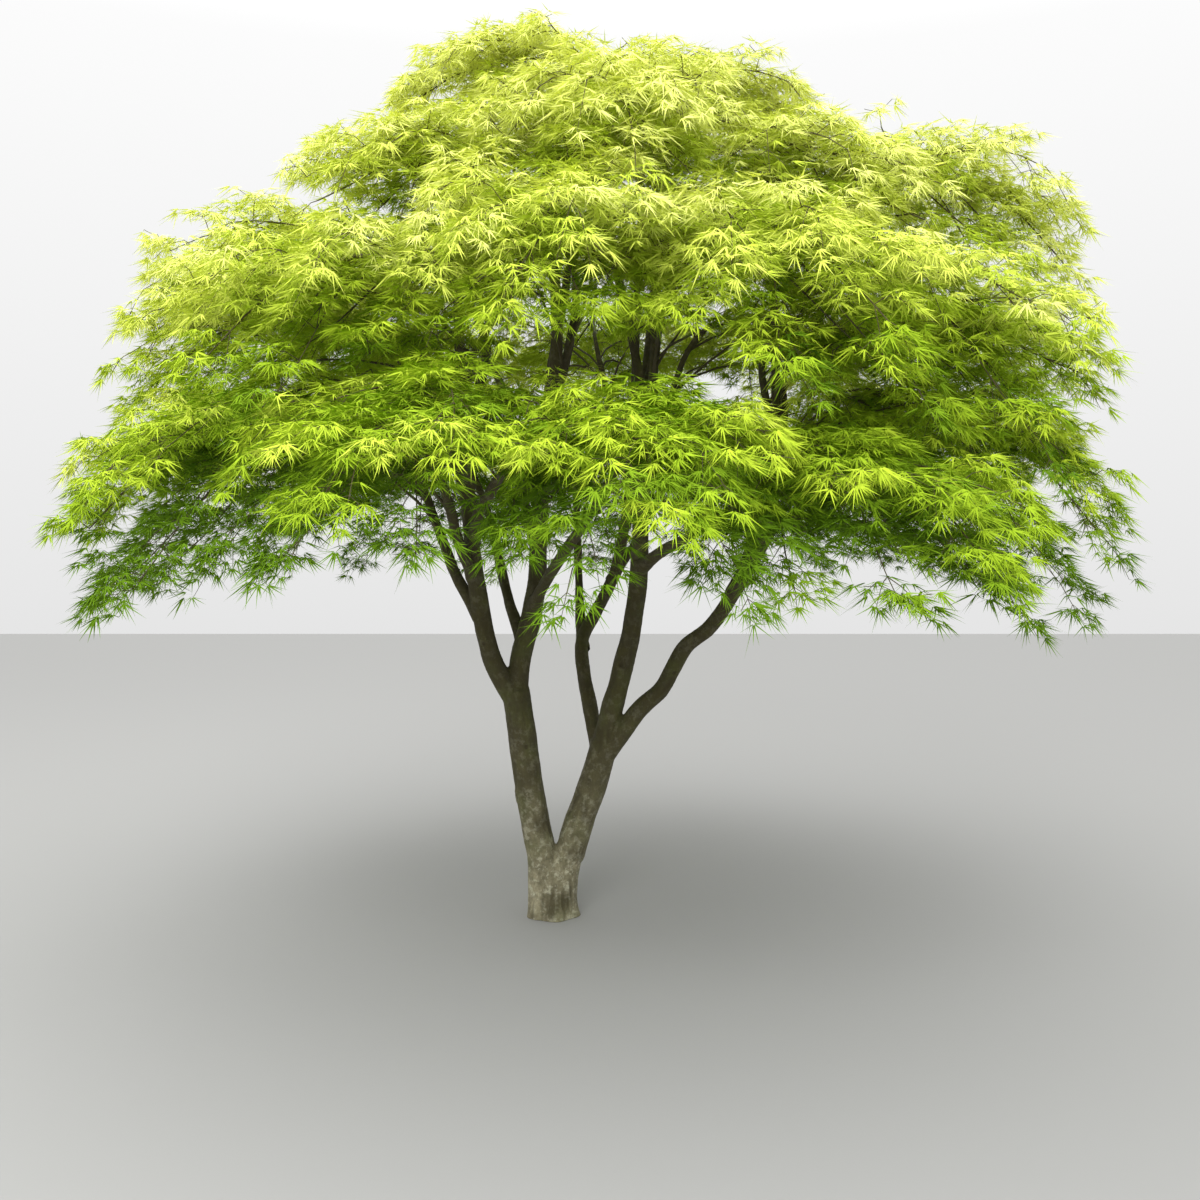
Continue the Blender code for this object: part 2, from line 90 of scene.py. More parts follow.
# The space of each mass of foliage: its tier, the limb that carries it, the height where its bough
# leaves that limb (or None where the limb runs on into it), its bearing round the crown in degrees,
# then its distance, height, half length and half width.
tierPlan = {  # slope outwards, sag at the rim, half thickness
    "front": (0.40, 0.17, 0.22),
    "skirt": (0.25, 0.17, 0.22),
    "low": (0.46, 0.17, 0.32),
    "rear": (0.44, 0.17, 0.35),
    "mid": (0.40, 0.16, 0.31),
    "high": (0.40, 0.15, 0.27),
    "top": (0.14, 0.17, 0.20),
}
padPlan = {
    "front_low_left": ("front", "limb_left", 1.50, -22, 1.30, 1.92, 0.56, 0.48),
    "front_low_middle": ("front", "limb_inner", 1.24, 5, 1.40, 1.86, 0.50, 0.40),
    "front_low_right": ("skirt", "limb_main", 1.40, 32, 1.38, 1.73, 0.56, 0.44),
    "right_low": ("low", "limb_outer", 1.46, 66, 1.30, 1.93, 0.58, 0.50),
    "right_rear_low": ("rear", "limb_outer", 1.30, 107, 1.30, 1.96, 0.58, 0.52),
    "rear_low_right": ("rear", "limb_back", 1.34, 148, 1.34, 2.00, 0.60, 0.54),
    "rear_low_left": ("rear", "limb_back", 1.06, 189, 1.34, 1.99, 0.60, 0.54),
    "left_rear_low": ("rear", "limb_inner", 1.10, 230, 1.36, 1.96, 0.58, 0.52),
    "left_low": ("low", "limb_left", 1.20, 270, 1.40, 1.98, 0.58, 0.52),
    "left_front_low": ("low", "limb_left", 1.36, 306, 1.34, 1.91, 0.58, 0.47),
    "front_mid_left": ("mid", "limb_left", 1.72, -43, 1.14, 2.38, 0.56, 0.48),
    "front_mid": ("mid", "limb_inner", 1.78, -8, 0.98, 2.54, 0.48, 0.42),
    "front_mid_right": ("mid", "limb_main", 1.72, 27, 1.12, 2.44, 0.58, 0.46),
    "right_mid_front": ("mid", "limb_outer", 1.68, 57, 1.28, 2.31, 0.56, 0.48),
    "right_mid": ("mid", "limb_outer", 1.84, 94, 1.32, 2.34, 0.56, 0.50),
    "right_rear_mid": ("mid", "limb_back", 1.56, 136, 1.22, 2.50, 0.58, 0.56),
    "rear_mid": ("mid", "limb_back", 1.74, 181, 1.18, 2.50, 0.56, 0.56),
    "left_rear_mid": ("mid", "limb_inner", 1.50, 227, 1.22, 2.40, 0.56, 0.54),
    "left_mid": ("mid", "limb_left", 1.70, 272, 1.27, 2.38, 0.56, 0.54),
    "high_front": ("high", "limb_main", 1.98, 6, 0.70, 2.96, 0.50, 0.44),
    "high_right": ("high", "limb_main", 2.08, 54, 0.84, 2.84, 0.52, 0.44),
    "right_shoulder": ("high", "limb_outer", None, 86, 1.28, 2.91, 0.56, 0.48),
    "high_rear_right": ("high", "limb_back", None, 138, 0.84, 2.90, 0.54, 0.52),
    "high_rear_left": ("high", "limb_inner", 1.92, 214, 0.78, 2.90, 0.54, 0.52),
    "high_left": ("high", "limb_left", None, 273, 1.18, 2.66, 0.58, 0.48),
    "high_front_left": ("high", "limb_left", 2.05, -48, 0.74, 2.88, 0.50, 0.42),
    "top_left": ("top", "limb_main", None, 285, 0.24, 3.34, 0.50, 0.46),
    "top_right": ("top", "limb_inner", None, 92, 0.34, 3.30, 0.50, 0.46),
}
crownPlan = {
    "axis": (0.18, 0.0, 0.0),  # the foot of the line that the bearings turn round
    "rootPlace": (-0.84, 0.0, -0.35),  # where a bough ends in its pad, in the pad's measures
    "stemAim": (-0.5, 0.0, 0.0),  # and what it heads for there
}


class Term:
    # A socket that takes part in sums: each sum adds its Math node
    def __init__(self, finish, socket):
        self.finish = finish
        self.socket = socket

    def sum(self, operation, first, second):
        return self.finish.node("ShaderNodeMath", {"operation": operation}, {0: first, 1: second})

    def __add__(self, other):
        return self.sum("ADD", self, other)

    def __radd__(self, other):
        return self.sum("ADD", other, self)

    def __sub__(self, other):
        return self.sum("SUBTRACT", self, other)

    def __rsub__(self, other):
        return self.sum("SUBTRACT", other, self)

    def __mul__(self, other):
        return self.sum("MULTIPLY", self, other)

    def __rmul__(self, other):
        return self.sum("MULTIPLY", other, self)


class Web:
    # A tree of shader nodes
    def __init__(self, tree, end):
        self.tree = tree
        self.end = tree.nodes[end]

    def node(self, kind, settings, inputs, output=0):
        made = self.tree.nodes.new(kind)
        for key, value in settings.items():
            if key == "stops":
                for k, (place, shade) in enumerate(value):
                    stop = made.color_ramp.elements[k] if k < 2 else made.color_ramp.elements.new(place)
                    stop.position = place
                    stop.color = (shade, shade, shade, 1)
            else:
                setattr(made, key, value)
        for key, value in inputs.items():
            if isinstance(value, Term):
                self.tree.links.new(value.socket, made.inputs[key])
            else:
                made.inputs[key].default_value = value
        return Term(self, made.outputs[output])

    def grain(self, place, scale, detail, roughness):
        settings = {"noise_dimensions": "3D"}
        inputs = {"Vector": place, "Scale": scale, "Detail": detail, "Roughness": roughness}
        return self.node("ShaderNodeTexNoise", settings, inputs)

    def ramp(self, share, *stops):
        return self.node("ShaderNodeValToRGB", {"stops": stops}, {0: share})

    def stretch(self, place, scale):
        return self.node("ShaderNodeVectorMath", {"operation": "MULTIPLY"}, {0: place, 1: scale})

    def blend(self, first, second, share):
        settings = {"data_type": "RGBA"}
        inputs = {0: share, 6: self.shade(first), 7: self.shade(second)}
        return self.node("ShaderNodeMix", settings, inputs, 2)

    def shade(self, colour):
        return colour if isinstance(colour, Term) else (*colour, 1)

    def feed(self, socket, term):
        self.tree.links.new(term.socket, self.end.inputs[socket])


class Finish(Web):
    # A material with the nodes that make its look
    def __init__(self, name, colour, roughness):
        self.material = bpy.data.materials.new(name)
        self.material.use_nodes = True
        self.material.diffuse_color = (*colour, 1)
        super().__init__(self.material.node_tree, "Principled BSDF")
        self.end.inputs["Base Color"].default_value = (*colour, 1)
        self.end.inputs["Roughness"].default_value = roughness


def unit(vectors):
    length = np.linalg.norm(vectors, axis=-1, keepdims=True)
    return vectors / np.maximum(length, 1e-9)


def smoothLine(points, step):
    # Points about a step apart on the Catmull-Rom curve through the given points
    points = [np.array(point, dtype=float) for point in points]
    ends = [2 * points[0] - points[1], *points, 2 * points[-1] - points[-2]]
    line = []
    for a, b, c, d in zip(ends, ends[1:], ends[2:], ends[3:]):
        count = max(1, round(np.linalg.norm(c[:3] - b[:3]) / step))
        for k in range(count):
            t = k / count
            line.append(0.5 * (2 * b + (c - a) * t + (2 * a - 5 * b + 4 * c - d) * t**2
                               + (3 * b - a - 3 * c + d) * t**3))
    return np.array([*line, points[-1]])


def arch(start, leave, arrive, end, count):
    # A Bezier curve from one point to another by its two handles, for one or many curves at once
    t = np.linspace(0.0, 1.0, count)[:, None]
    a, b, c, d = (np.expand_dims(place, -2) for place in (start, leave, arrive, end))
    return (1 - t) ** 3 * a + 3 * (1 - t) ** 2 * t * b + 3 * (1 - t) * t * t * c + t**3 * d


class Limb:
    # A tapering limb along a line, with the radius at every point of the line
    def __init__(self, line, startRadius, endRadius):
        self.line = np.array(line)
        share = np.linspace(0.0, 1.0, len(self.line))
        self.radii = startRadius + (endRadius - startRadius) * share ** woodPlan["taperPower"]

    def atHeight(self, height):
        for a, b, radius in zip(self.line, self.line[1:], self.radii):
            if b[2] >= height:
                share = max(0.0, (height - a[2]) / (b[2] - a[2]))
                return a + (b - a) * share, unit(b - a), radius
        return self.line[-1], unit(self.line[-1] - self.line[-2]), self.radii[-1]

    def fine(self, step):
        # The same limb with points closer together, and the length run at each of them
        rows = smoothLine(np.column_stack((self.line, self.radii)), step)
        run = np.concatenate(([0.0], np.cumsum(np.linalg.norm(np.diff(rows[:, :3], axis=0), axis=1))))
        return rows[:, :3], rows[:, 3], run


class Pad:
    # The space of one mass of foliage: an arched oval that slopes outwards and sags at its rim
    def __init__(self, tier, bearing, distance, height, length, width):
        self.fall, self.sag, self.depth = tierPlan[tier]
        angle = math.radians(bearing)
        self.out = np.array((math.sin(angle), -math.cos(angle), 0.0))
        self.side = np.array((math.cos(angle), math.sin(angle), 0.0))
        self.middle = np.array(crownPlan["axis"]) + self.out * distance + up * height
        self.length = length
        self.width = width

    def drop(self, p, q):
        return self.fall * self.length * p + self.sag * (p * p + q * q)

    def place(self, plan):
        # From the pad's own measures, out, across and up, to the tree's
        plan = np.asarray(plan)
        p, q, lift = plan[..., 0], plan[..., 1], plan[..., 2]
        rise = self.depth * lift - self.drop(p, q)
        spread = self.length * p[..., None] * self.out + self.width * q[..., None] * self.side
        return self.middle + spread + rise[..., None] * up

    def plan(self, points):
        offset = points - self.middle
        p = offset @ self.out / self.length
        q = offset @ self.side / self.width
        return np.stack((p, q, (offset[..., 2] + self.drop(p, q)) / self.depth), axis=-1)

    def measure(self, points):
        # How far out of the pad's middle each point lies: 1 is the edge of its space
        plan = self.plan(points)
        return np.sqrt(plan[..., 0] ** 2 + plan[..., 1] ** 2 + 0.5 * plan[..., 2] ** 2)

    def root(self):
        place = self.place(crownPlan["rootPlace"])
        return place, unit(self.place(crownPlan["stemAim"]) - place)


def boughLimb(limb, height, pad):
    # A bough from inside its limb to the root of its pad, rising and then levelling out
    start, way, radius = limb.atHeight(height)
    root, arrive = pad.root()
    end = root - woodPlan["handOver"] * arrive
    span = np.linalg.norm(end - start)
    follow, outward = woodPlan["boughLeave"]
    leave = unit(way * follow + unit(end - start) + pad.out * outward)
    first, second = woodPlan["boughHandles"]
    count = max(3, round(span / woodPlan["boughStep"]))
    line = arch(start, start + leave * span * first, end - arrive * span * second, end, count + 1)
    largest = min(radius * woodPlan["boughShare"], woodPlan["boughLargest"])
    return Limb([*line, root], largest, woodPlan["boughTip"])


def makeLimbs(pads):
    limbs = {}
    ends = {row[1]: pads[name] for name, row in padPlan.items() if row[2] is None}
    for name, (parent, leaves, radius, endRadius, wayPoints) in limbPlan.items():
        points = [np.array(point) for point in wayPoints]
        if parent:
            points.insert(0, limbs[parent].atHeight(leaves)[0])
            root, arrive = ends[name].root()
            points += [root - arrive * woodPlan[step] for step in ("approach", "handOver")]
            endRadius = woodPlan["boughTip"]
            line = [*smoothLine(points, woodPlan["limbStep"]), root]
        else:
            line = smoothLine(points, woodPlan["limbStep"])
        limbs[name] = Limb(line, radius, endRadius)
    for name, row in padPlan.items():
        if row[2]:
            limbs[f"bough_{name}"] = boughLimb(limbs[row[1]], row[2], pads[name])
    return limbs


def tubes(lines, radii, sides):
    # Rings round one or many lines of as many points each, and the four-sided faces between them
    ways = unit(np.gradient(lines, axis=1))
    flat = unit(ways.mean(axis=1, keepdims=True))
    guide = np.where(np.abs(flat[..., 2:]) > 0.85, np.array((1.0, 0.0, 0.0)), up)
    side = unit(np.cross(np.broadcast_to(guide, ways.shape), ways))
    across = np.cross(ways, side)
    angles = math.tau * np.arange(sides) / sides
    ring = np.cos(angles)[:, None] * side[:, :, None] + np.sin(angles)[:, None] * across[:, :, None]
    points = lines[:, :, None] + radii[:, :, None, None] * ring
    count, stations = lines.shape[:2]
    here = np.arange(count * stations * sides).reshape(count, stations, sides)
    after = np.roll(here, -1, axis=2)
    faces = np.stack((here[:, :-1], after[:, :-1], after[:, 1:], here[:, 1:]), axis=-1)
    return points.reshape(-1, 3), faces.reshape(-1, 4)


def joined(parts):
    # Several lots of points and faces as one
    points = np.concatenate([part[0] for part in parts])
    starts = np.cumsum([0] + [len(part[0]) for part in parts[:-1]])
    return points, np.concatenate([part[1] + start for part, start in zip(parts, starts)])


def placed(name, data):
    # A new object of the scene
    made = bpy.data.objects.new(name, data)
    bpy.context.scene.collection.objects.link(made)
    return made


def addPiece(name, points, faces, finishes, dealt=None):
    mesh = bpy.data.meshes.new(name)
    corners = faces.shape[1]
    mesh.vertices.add(len(points))
    mesh.vertices.foreach_set("co", points.astype(np.float32).ravel())
    mesh.loops.add(faces.size)
    mesh.loops.foreach_set("vertex_index", faces.astype(np.int32).ravel())
    mesh.polygons.add(len(faces))
    mesh.polygons.foreach_set("loop_start", np.arange(0, faces.size, corners, dtype=np.int32))
    for finish in finishes:
        mesh.materials.append(finish.material)
    if dealt is not None:
        mesh.polygons.foreach_set("material_index", dealt.astype(np.int32))
    mesh.update(calc_edges=True)
    return placed(name, mesh)


def dress(piece, nodes):
    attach(piece, "root")
    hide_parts(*nodes)


barkPlan = {
    "voxel": 0.0062,
    "footDepth": 0.03,
    "trunkHeights": (0.0, 0.015, 0.035, 0.06, 0.09, 0.12, 0.15, 0.18, 0.21, 0.24, 0.262),
    "trunkSides": 56,
    "limbSides": 22,
    "limbStep": 0.02,
    "fairing": (0.5, 5),  # strength and rounds of the smoothing after the skin is fused
    "onGround": 1e-4,  # what lies lower than this is the flat cut
    "footFree": 0.004,  # over this height the relief fades out towards the cut
    "axisStep": 0.01,  # between the points of the middle lines that the relief is measured from
    "stubPoints": 28,
    "lumps": (8.0, 0.0042),  # noise scale and height in metres of the slow swellings
    "ridges": (46.0, 7.0, 0.0016),  # round the limb, along it, and height
    "ridgeShape": (0.8, 0.3),  # how sharp they are, and the level that counts as no relief
    "pits": (95.0, 0.0007),
    "fullRelief": 0.045,  # the radius from which lumps and ridges have their full height
    # grooveDepth sets how quickly the painted shade in the hollows of the relief deepens
    "grooveDepth": 0.006,
    "boughSides": 10,
    "boughStep": 0.022,
    "boughRelief": 2.0,  # how much higher the relief is on a bough
    "boughSeed": 3.7,
    "boughPoint": (2, 0.0005),  # length of its last taper, in its radius there, and the last radius
    "collar": (0.45, 0.03, 0.035),  # how much a bough swells, up to where, and over what length it fades
    "scarRing": (0.22, 1.0, 0.35),  # height, radius and width of a scar's raised ring, in its size
    "scarHollow": (0.42, 0.7),  # depth and radius of its hollow
    # old pruning scars: limb, height, bearing round the limb in degrees, size
    "scars": (
        ("stem_left", 0.50, 200, 0.020),
        ("stem_left", 0.70, 285, 0.015),
        ("stem_right", 0.55, 250, 0.016),
        ("limb_inner", 1.24, 300, 0.014),
        ("limb_main", 1.02, 255, 0.016),
        ("limb_left", 1.12, 250, 0.013),
        ("limb_outer", 1.00, 290, 0.012),
        ("limb_back", 1.00, 90, 0.012),
        ("stem_left", 0.42, 95, 0.018),
        ("stem_right", 0.48, 60, 0.017),
    ),
}


def trunkRings():
    # The trunk from below the ground up to the waist where the stems part, as one closed tube
    sides = barkPlan["trunkSides"]
    heights = (-barkPlan["footDepth"], *barkPlan["trunkHeights"])
    bayDepth, bayCount, bayTurn = woodPlan["rootBays"]
    angle = math.tau * np.arange(sides) / sides
    right = np.cos(angle) > 0
    radius = np.where(right, woodPlan["stemRadius"]["right"], woodPlan["stemRadius"]["left"])
    spread = np.where(right, woodPlan["stemSpread"]["right"], woodPlan["stemSpread"]["left"])
    across = spread * np.sin(angle)
    waist = spread * np.abs(np.cos(angle)) + np.sqrt(np.maximum(0.0, radius**2 - across**2))
    bays = 1 + bayDepth * np.cos(bayCount * angle + bayTurn)
    rows = []
    for height in heights:
        level = max(0.0, height)
        flare = woodPlan["rootFlare"] * math.exp(-level / woodPlan["flareHeight"]) * bays
        foot = woodPlan["baseRadius"] * (1 + woodPlan["footOval"] * np.cos(2 * angle)) + flare
        share = level / woodPlan["forkHeight"]
        rim = foot + (waist - foot) * share ** woodPlan["waistPower"]
        rows.append(np.column_stack((rim * np.cos(angle), rim * np.sin(angle), np.full(sides, height))))
    here = np.arange(len(heights) * sides).reshape(len(heights), sides)
    after = np.roll(here, -1, axis=1)
    faces = np.stack((here[:-1], after[:-1], after[1:], here[1:]), axis=-1).reshape(-1, 4)
    return np.concatenate(rows), faces, (here[0][::-1], here[-1])


def closedShell(shell, points, faces, ends):
    # Adds a tube with its two ends closed to a mesh under construction
    made = [shell.verts.new(point) for point in points]
    for face in [*faces.tolist(), *[list(end) for end in ends]]:
        shell.faces.new([made[k] for k in face])


def fusedWood(limbs):
    # Trunk, stems and leading limbs grown into one skin, cut flat at the ground
    shell = bmesh.new()
    closedShell(shell, *trunkRings())
    for name in limbPlan:
        line, radii, _ = limbs[name].fine(barkPlan["limbStep"])
        sides = barkPlan["limbSides"]
        points, faces = tubes(line[None], radii[None], sides)
        ends = np.arange(sides)[::-1], np.arange(len(points) - sides, len(points))
        closedShell(shell, points, faces, ends)
    rough = bpy.data.meshes.new("wood shell")
    shell.to_mesh(rough)
    shell.free()
    holder = placed("wood shell", rough)
    fuse = holder.modifiers.new("fuse", "REMESH")
    fuse.mode = "VOXEL"
    fuse.voxel_size = barkPlan["voxel"]
    fair = holder.modifiers.new("fair", "SMOOTH")
    fair.factor, fair.iterations = barkPlan["fairing"]
    fused = bpy.data.meshes.new_from_object(holder.evaluated_get(bpy.context.evaluated_depsgraph_get()))
    bpy.data.objects.remove(holder)
    skin = bmesh.new()
    skin.from_mesh(fused)
    cut = bmesh.ops.bisect_plane(skin, geom=[*skin.verts, *skin.edges, *skin.faces], dist=1e-5,
                                 plane_co=(0, 0, 0), plane_no=(0, 0, 1), clear_inner=True)
    rim = [part for part in cut["geom_cut"] if isinstance(part, bmesh.types.BMEdge)]
    bmesh.ops.contextual_create(skin, geom=rim)
    skin.to_mesh(fused)
    skin.free()
    return fused


def scarPlaces(limbs):
    # The middle of each scar, on its limb's surface, and its size
    rows = []
    for name, height, bearing, size in barkPlan["scars"]:
        middle, way, radius = limbs[name].atHeight(height)
        flat = np.array((math.cos(math.radians(bearing)), math.sin(math.radians(bearing)), 0.0))
        flat = unit(flat - way * (flat @ way))
        rows.append((middle + flat * radius, size))
    return rows


def relief(points, radial, run, radii, seed=0.0):
    # How far the bark stands out at each point: slow lumps, ridges along the limb and small pits
    lumpScale, lumpHeight = barkPlan["lumps"]
    roundScale, alongScale, ridgeHeight = barkPlan["ridges"]
    sharpness, level = barkPlan["ridgeShape"]
    pitScale, pitHeight = barkPlan["pits"]
    slim = np.minimum(1.0, radii / barkPlan["fullRelief"])
    heights = np.empty(len(points))
    for k, (point, spoke, length) in enumerate(zip(points, radial * radii[:, None], run)):
        lump = noise.noise(Vector(point * lumpScale))
        turn = Vector(spoke * roundScale)
        turn.z += length * alongScale + seed
        ridge = 1 - 2 * abs(noise.noise(turn)) ** sharpness
        pit = noise.noise(Vector(point * pitScale))
        heights[k] = slim[k] * (lumpHeight * lump + ridgeHeight * (ridge - level)) + pitHeight * pit
    return heights


def addScars(heights, points, limbs):
    # A raised ring round a hollow at each old pruning scar
    rise, radius, width = barkPlan["scarRing"]
    depth, hollow = barkPlan["scarHollow"]
    for centre, size in scarPlaces(limbs):
        far = np.linalg.norm(points - centre, axis=1) / size
        ring = rise * size * np.exp(-((far - radius) / width) ** 2)
        heights += ring - depth * size * np.exp(-((far / hollow) ** 2))


def addGroove(mesh, heights):
    # How deep in the relief each point lies, which the bark's colour reads to paint shade into the hollows
    # and scars
    groove = mesh.attributes.new("groove", "FLOAT", "POINT")
    groove.data.foreach_set("value", np.clip(0.5 - heights / barkPlan["grooveDepth"], 0.0, 1.0))


def vertexRows(mesh, key):
    rows = np.empty(len(mesh.vertices) * 3)
    mesh.vertices.foreach_get(key, rows)
    return rows.reshape(-1, 3)


def trunkAndLimbs(limbs, finish):
    mesh = fusedWood(limbs)
    mesh.name = "bark_trunk_and_limbs"
    mesh.materials.clear()
    mesh.materials.append(finish.material)
    points, normals = vertexRows(mesh, "co"), vertexRows(mesh, "normal")

    axes = [limbs[name].fine(barkPlan["axisStep"]) for name in limbPlan]
    stub = np.linspace((0.0, 0.0, 0.0), (0.0, 0.0, woodPlan["forkHeight"]), barkPlan["stubPoints"])
    axes.append((stub, np.full(len(stub), woodPlan["baseRadius"]), stub[:, 2]))
    line = np.concatenate([axis[0] for axis in axes])
    ways = unit(np.concatenate([np.gradient(axis[0], axis=0) for axis in axes]))
    radii = np.concatenate([axis[1] for axis in axes])
    run = np.concatenate([axis[2] for axis in axes])
    tree = KDTree(len(line))
    for k, place in enumerate(line):
        tree.insert(place, k)
    tree.balance()
    near = np.array([tree.find(point)[1] for point in points])
    spoke = points - line[near]
    spoke = unit(spoke - ways[near] * np.sum(spoke * ways[near], axis=1)[:, None])
    heights = relief(points, spoke, run[near], radii[near])
    addScars(heights, points, limbs)
    free = np.clip(points[:, 2] / barkPlan["footFree"], 0.0, 1.0)
    outward = normals.copy()
    outward[:, 2] *= free
    moved = points + outward * heights[:, None]
    moved[:, 2] = np.maximum(moved[:, 2], 0.0)
    moved[points[:, 2] < barkPlan["onGround"], 2] = 0.0
    mesh.vertices.foreach_set("co", moved.ravel())
    addGroove(mesh, heights)
    mesh.update()
    mesh.shade_smooth()
    dress(placed("bark_trunk_and_limbs", mesh), ["trunk", *limbPlan])
    print("trunk and limbs:", len(mesh.polygons), "faces")


def boughBark(limbs, finish):
    # Every bough as a tube with a collar where it leaves its limb and a pointed tip in its mass
    parts, heights = [], []
    sides = barkPlan["boughSides"]
    swell, reach, fade = barkPlan["collar"]
    taper, lastRadius = barkPlan["boughPoint"]
    for number, (name, limb) in enumerate(limbs.items()):
        if name in limbPlan:
            continue
        line, radii, run = limb.fine(barkPlan["boughStep"])
        radii = radii * (1 + swell * np.exp(-np.maximum(0.0, run - reach) / fade))
        pointed = taper * radii[-1]
        line = np.concatenate((line, line[-1:] + pointed * unit(line[-1:] - line[-2:-1])))
        radii = np.append(radii, lastRadius)
        run = np.append(run, run[-1] + pointed)
        points, faces = tubes(line[None], radii[None], sides)
        spoke = unit(points - np.repeat(line, sides, axis=0))
        runs, wide = np.repeat(run, sides), np.repeat(radii, sides)
        rise = relief(points, spoke, runs, wide, number * barkPlan["boughSeed"]) * barkPlan["boughRelief"]
        rise[-sides:] = 0.0
        parts.append((points + spoke * rise[:, None], faces))
        heights.append(rise)
    piece = addPiece("bark_boughs", *joined(parts), [finish])
    addGroove(piece.data, np.concatenate(heights))
    piece.data.shade_smooth()
    dress(piece, [name for name in limbs if name not in limbPlan])
    print("boughs:", len(piece.data.polygons), "faces")


barkLook = {
    # shade: the dark bark tone of the mottle, streaks and specks, and also the painted shade in the hollows
    # and scars
    "shade": (0.044, 0.036, 0.011),
    "ground": (0.074, 0.066, 0.020),
    "pale": (0.335, 0.305, 0.195),
    "lichen": (0.520, 0.510, 0.370),
    "moss": (0.090, 0.110, 0.020),
    "twig": (0.070, 0.052, 0.016),
    "roughness": 0.86,
    "twigRoughness": 0.7,
    "streakStretch": (1.0, 1.0, 0.22),  # the streaks run up the limbs
    "ageHeight": 0.5,  # the age of the bark falls with height, in shares of two metres
    "age": ((0.04, 1.0), (0.15, 0.60), (0.28, 0.14), (0.44, 0.0)),
    "mix": (0.6, 0.4),  # of the mottle and the streaks in the ground colour
    "paleShare": (0.35, 0.65),  # in old bark, then what the mottle adds
    "lichenShare": (0.08, 0.68),  # in young bark, then what its age adds
    "mossShare": 0.35,
    # painted shade in the hollows of the relief, by their depth
    "paintedGrooveShade": ((0.45, 0.0), (0.95, 0.85)),
    "speckleShare": 0.22,
    "roughnessSpan": (0.78, 0.16),
    "grit": (150.0, 5.0, 0.55),
    "gritMix": (0.6, 0.5, 0.35),  # of the grit, the streaks and the crust in the bump
    "bump": {"Strength": 0.55, "Distance": 0.004},
}
# The masks: scale, detail and roughness of their noise, then where they start and where they are full
barkMasks = {
    "mottle": (21.0, 6.0, 0.62, 0.36, 0.64),
    "streak": (75.0, 4.0, 0.55, 0.35, 0.68),
    "speckle": (120.0, 3.0, 0.55, 0.42, 0.62),
    "crust": (34.0, 8.0, 0.70, 0.50, 0.60),
    "damp": (7.0, 3.0, 0.55, 0.50, 0.66),
    "twig": (30.0, 3.0, 0.55, 0.35, 0.65),
}


def barkMask(look, place, name):
    *noiseLook, start, full = barkMasks[name]
    return look.ramp(look.grain(place, *noiseLook), (start, 0.0), (full, 1.0))


def barkFinish():
    look = Finish("weathered bark", barkLook["ground"], barkLook["roughness"])
    place = look.node("ShaderNodeTexCoord", {}, {}, "Object")
    height = look.node("ShaderNodeSeparateXYZ", {}, {0: place}, "Z")
    groove = look.node("ShaderNodeAttribute", {"attribute_name": "groove"}, {}, "Fac")
    along = look.stretch(place, barkLook["streakStretch"])
    mottle = barkMask(look, place, "mottle")
    streak = barkMask(look, along, "streak")
    speckle = barkMask(look, place, "speckle")
    age = look.ramp(height * barkLook["ageHeight"], *barkLook["age"])
    mottleMix, streakMix = barkLook["mix"]
    colour = look.blend(barkLook["shade"], barkLook["ground"], mottle * mottleMix + streak * streakMix)
    plain, added = barkLook["paleShare"]
    colour = look.blend(colour, barkLook["pale"], age * (plain + mottle * added))
    crust = barkMask(look, place, "crust")
    plain, added = barkLook["lichenShare"]
    colour = look.blend(colour, barkLook["lichen"], crust * (plain + age * added))
    damp = barkMask(look, place, "damp")
    colour = look.blend(colour, barkLook["moss"], damp * barkLook["mossShare"])
    # Painted shade: the deeper hollows of the relief and the scar hollows darken towards the shade colour
    colour = look.blend(colour, barkLook["shade"], look.ramp(groove, *barkLook["paintedGrooveShade"]))
    colour = look.blend(colour, barkLook["shade"], speckle * barkLook["speckleShare"])
    look.feed("Base Color", colour)
    plain, added = barkLook["roughnessSpan"]
    look.feed("Roughness", plain + mottle * added)
    gritMix, streakMix, crustMix = barkLook["gritMix"]
    grit = look.grain(along, *barkLook["grit"]) * gritMix + streak * streakMix + crust * crustMix
    bump = look.node("ShaderNodeBump", {}, {**barkLook["bump"], "Height": grit}, "Normal")
    look.feed("Normal", bump)
    return look


def twigFinish():
    look = Finish("young twig bark", barkLook["twig"], barkLook["twigRoughness"])
    place = look.node("ShaderNodeTexCoord", {}, {}, "Object")
    mottle = barkMask(look, place, "twig")
    look.feed("Base Color", look.blend(barkLook["twig"], barkLook["ground"], mottle))
    return look


# From here on, two numbers together without a note are the least and the most of a random draw
leafPlan = {
    "seed": 2204,
    "variants": 12,
    "span": 0.066,  # the middle lobe of an average leaf
    "lobes": ((0, 1.0), (19, 1.0), (40, 0.94), (64, 0.82), (94, 0.60)),  # bearing and share of the span
    "lengths": (0.66, 1.24),
    "scatter": (-10, 10),
    "bend": (-0.1, 0.45),
    "width": 0.0016,  # half the width of a lobe where it leaves the middle
    "widthShares": (0.75, 0.5),  # what every lobe has of it, and what grows with its length
    "widths": (0.85, 1.15),
    "droop": 0.22,
    "droops": (0.1, 1.9),
    "droopPower": 1.7,
    "petiole": 0.026,
    "petioleSlope": (0.86, 0.5),  # how far back and how far down it runs, in its length
    "petioleWidth": 0.0010,  # half of it
    "petioleEnd": 0.006,
    "roughness": 0.7,
    "specular": 0.08,
}
# Where along a lobe its three corners lie, and how far out to the left or right of its middle
lobeOutline = ((0.10, 1.0), (0.04, -1.0), (1.0, 0.0))


def petioleFoot():
    # Where a petiole starts: how far back from its leaf's middle, and how far under it
    back, under = leafPlan["petioleSlope"]
    return leafPlan["petiole"] * back, leafPlan["petiole"] * under


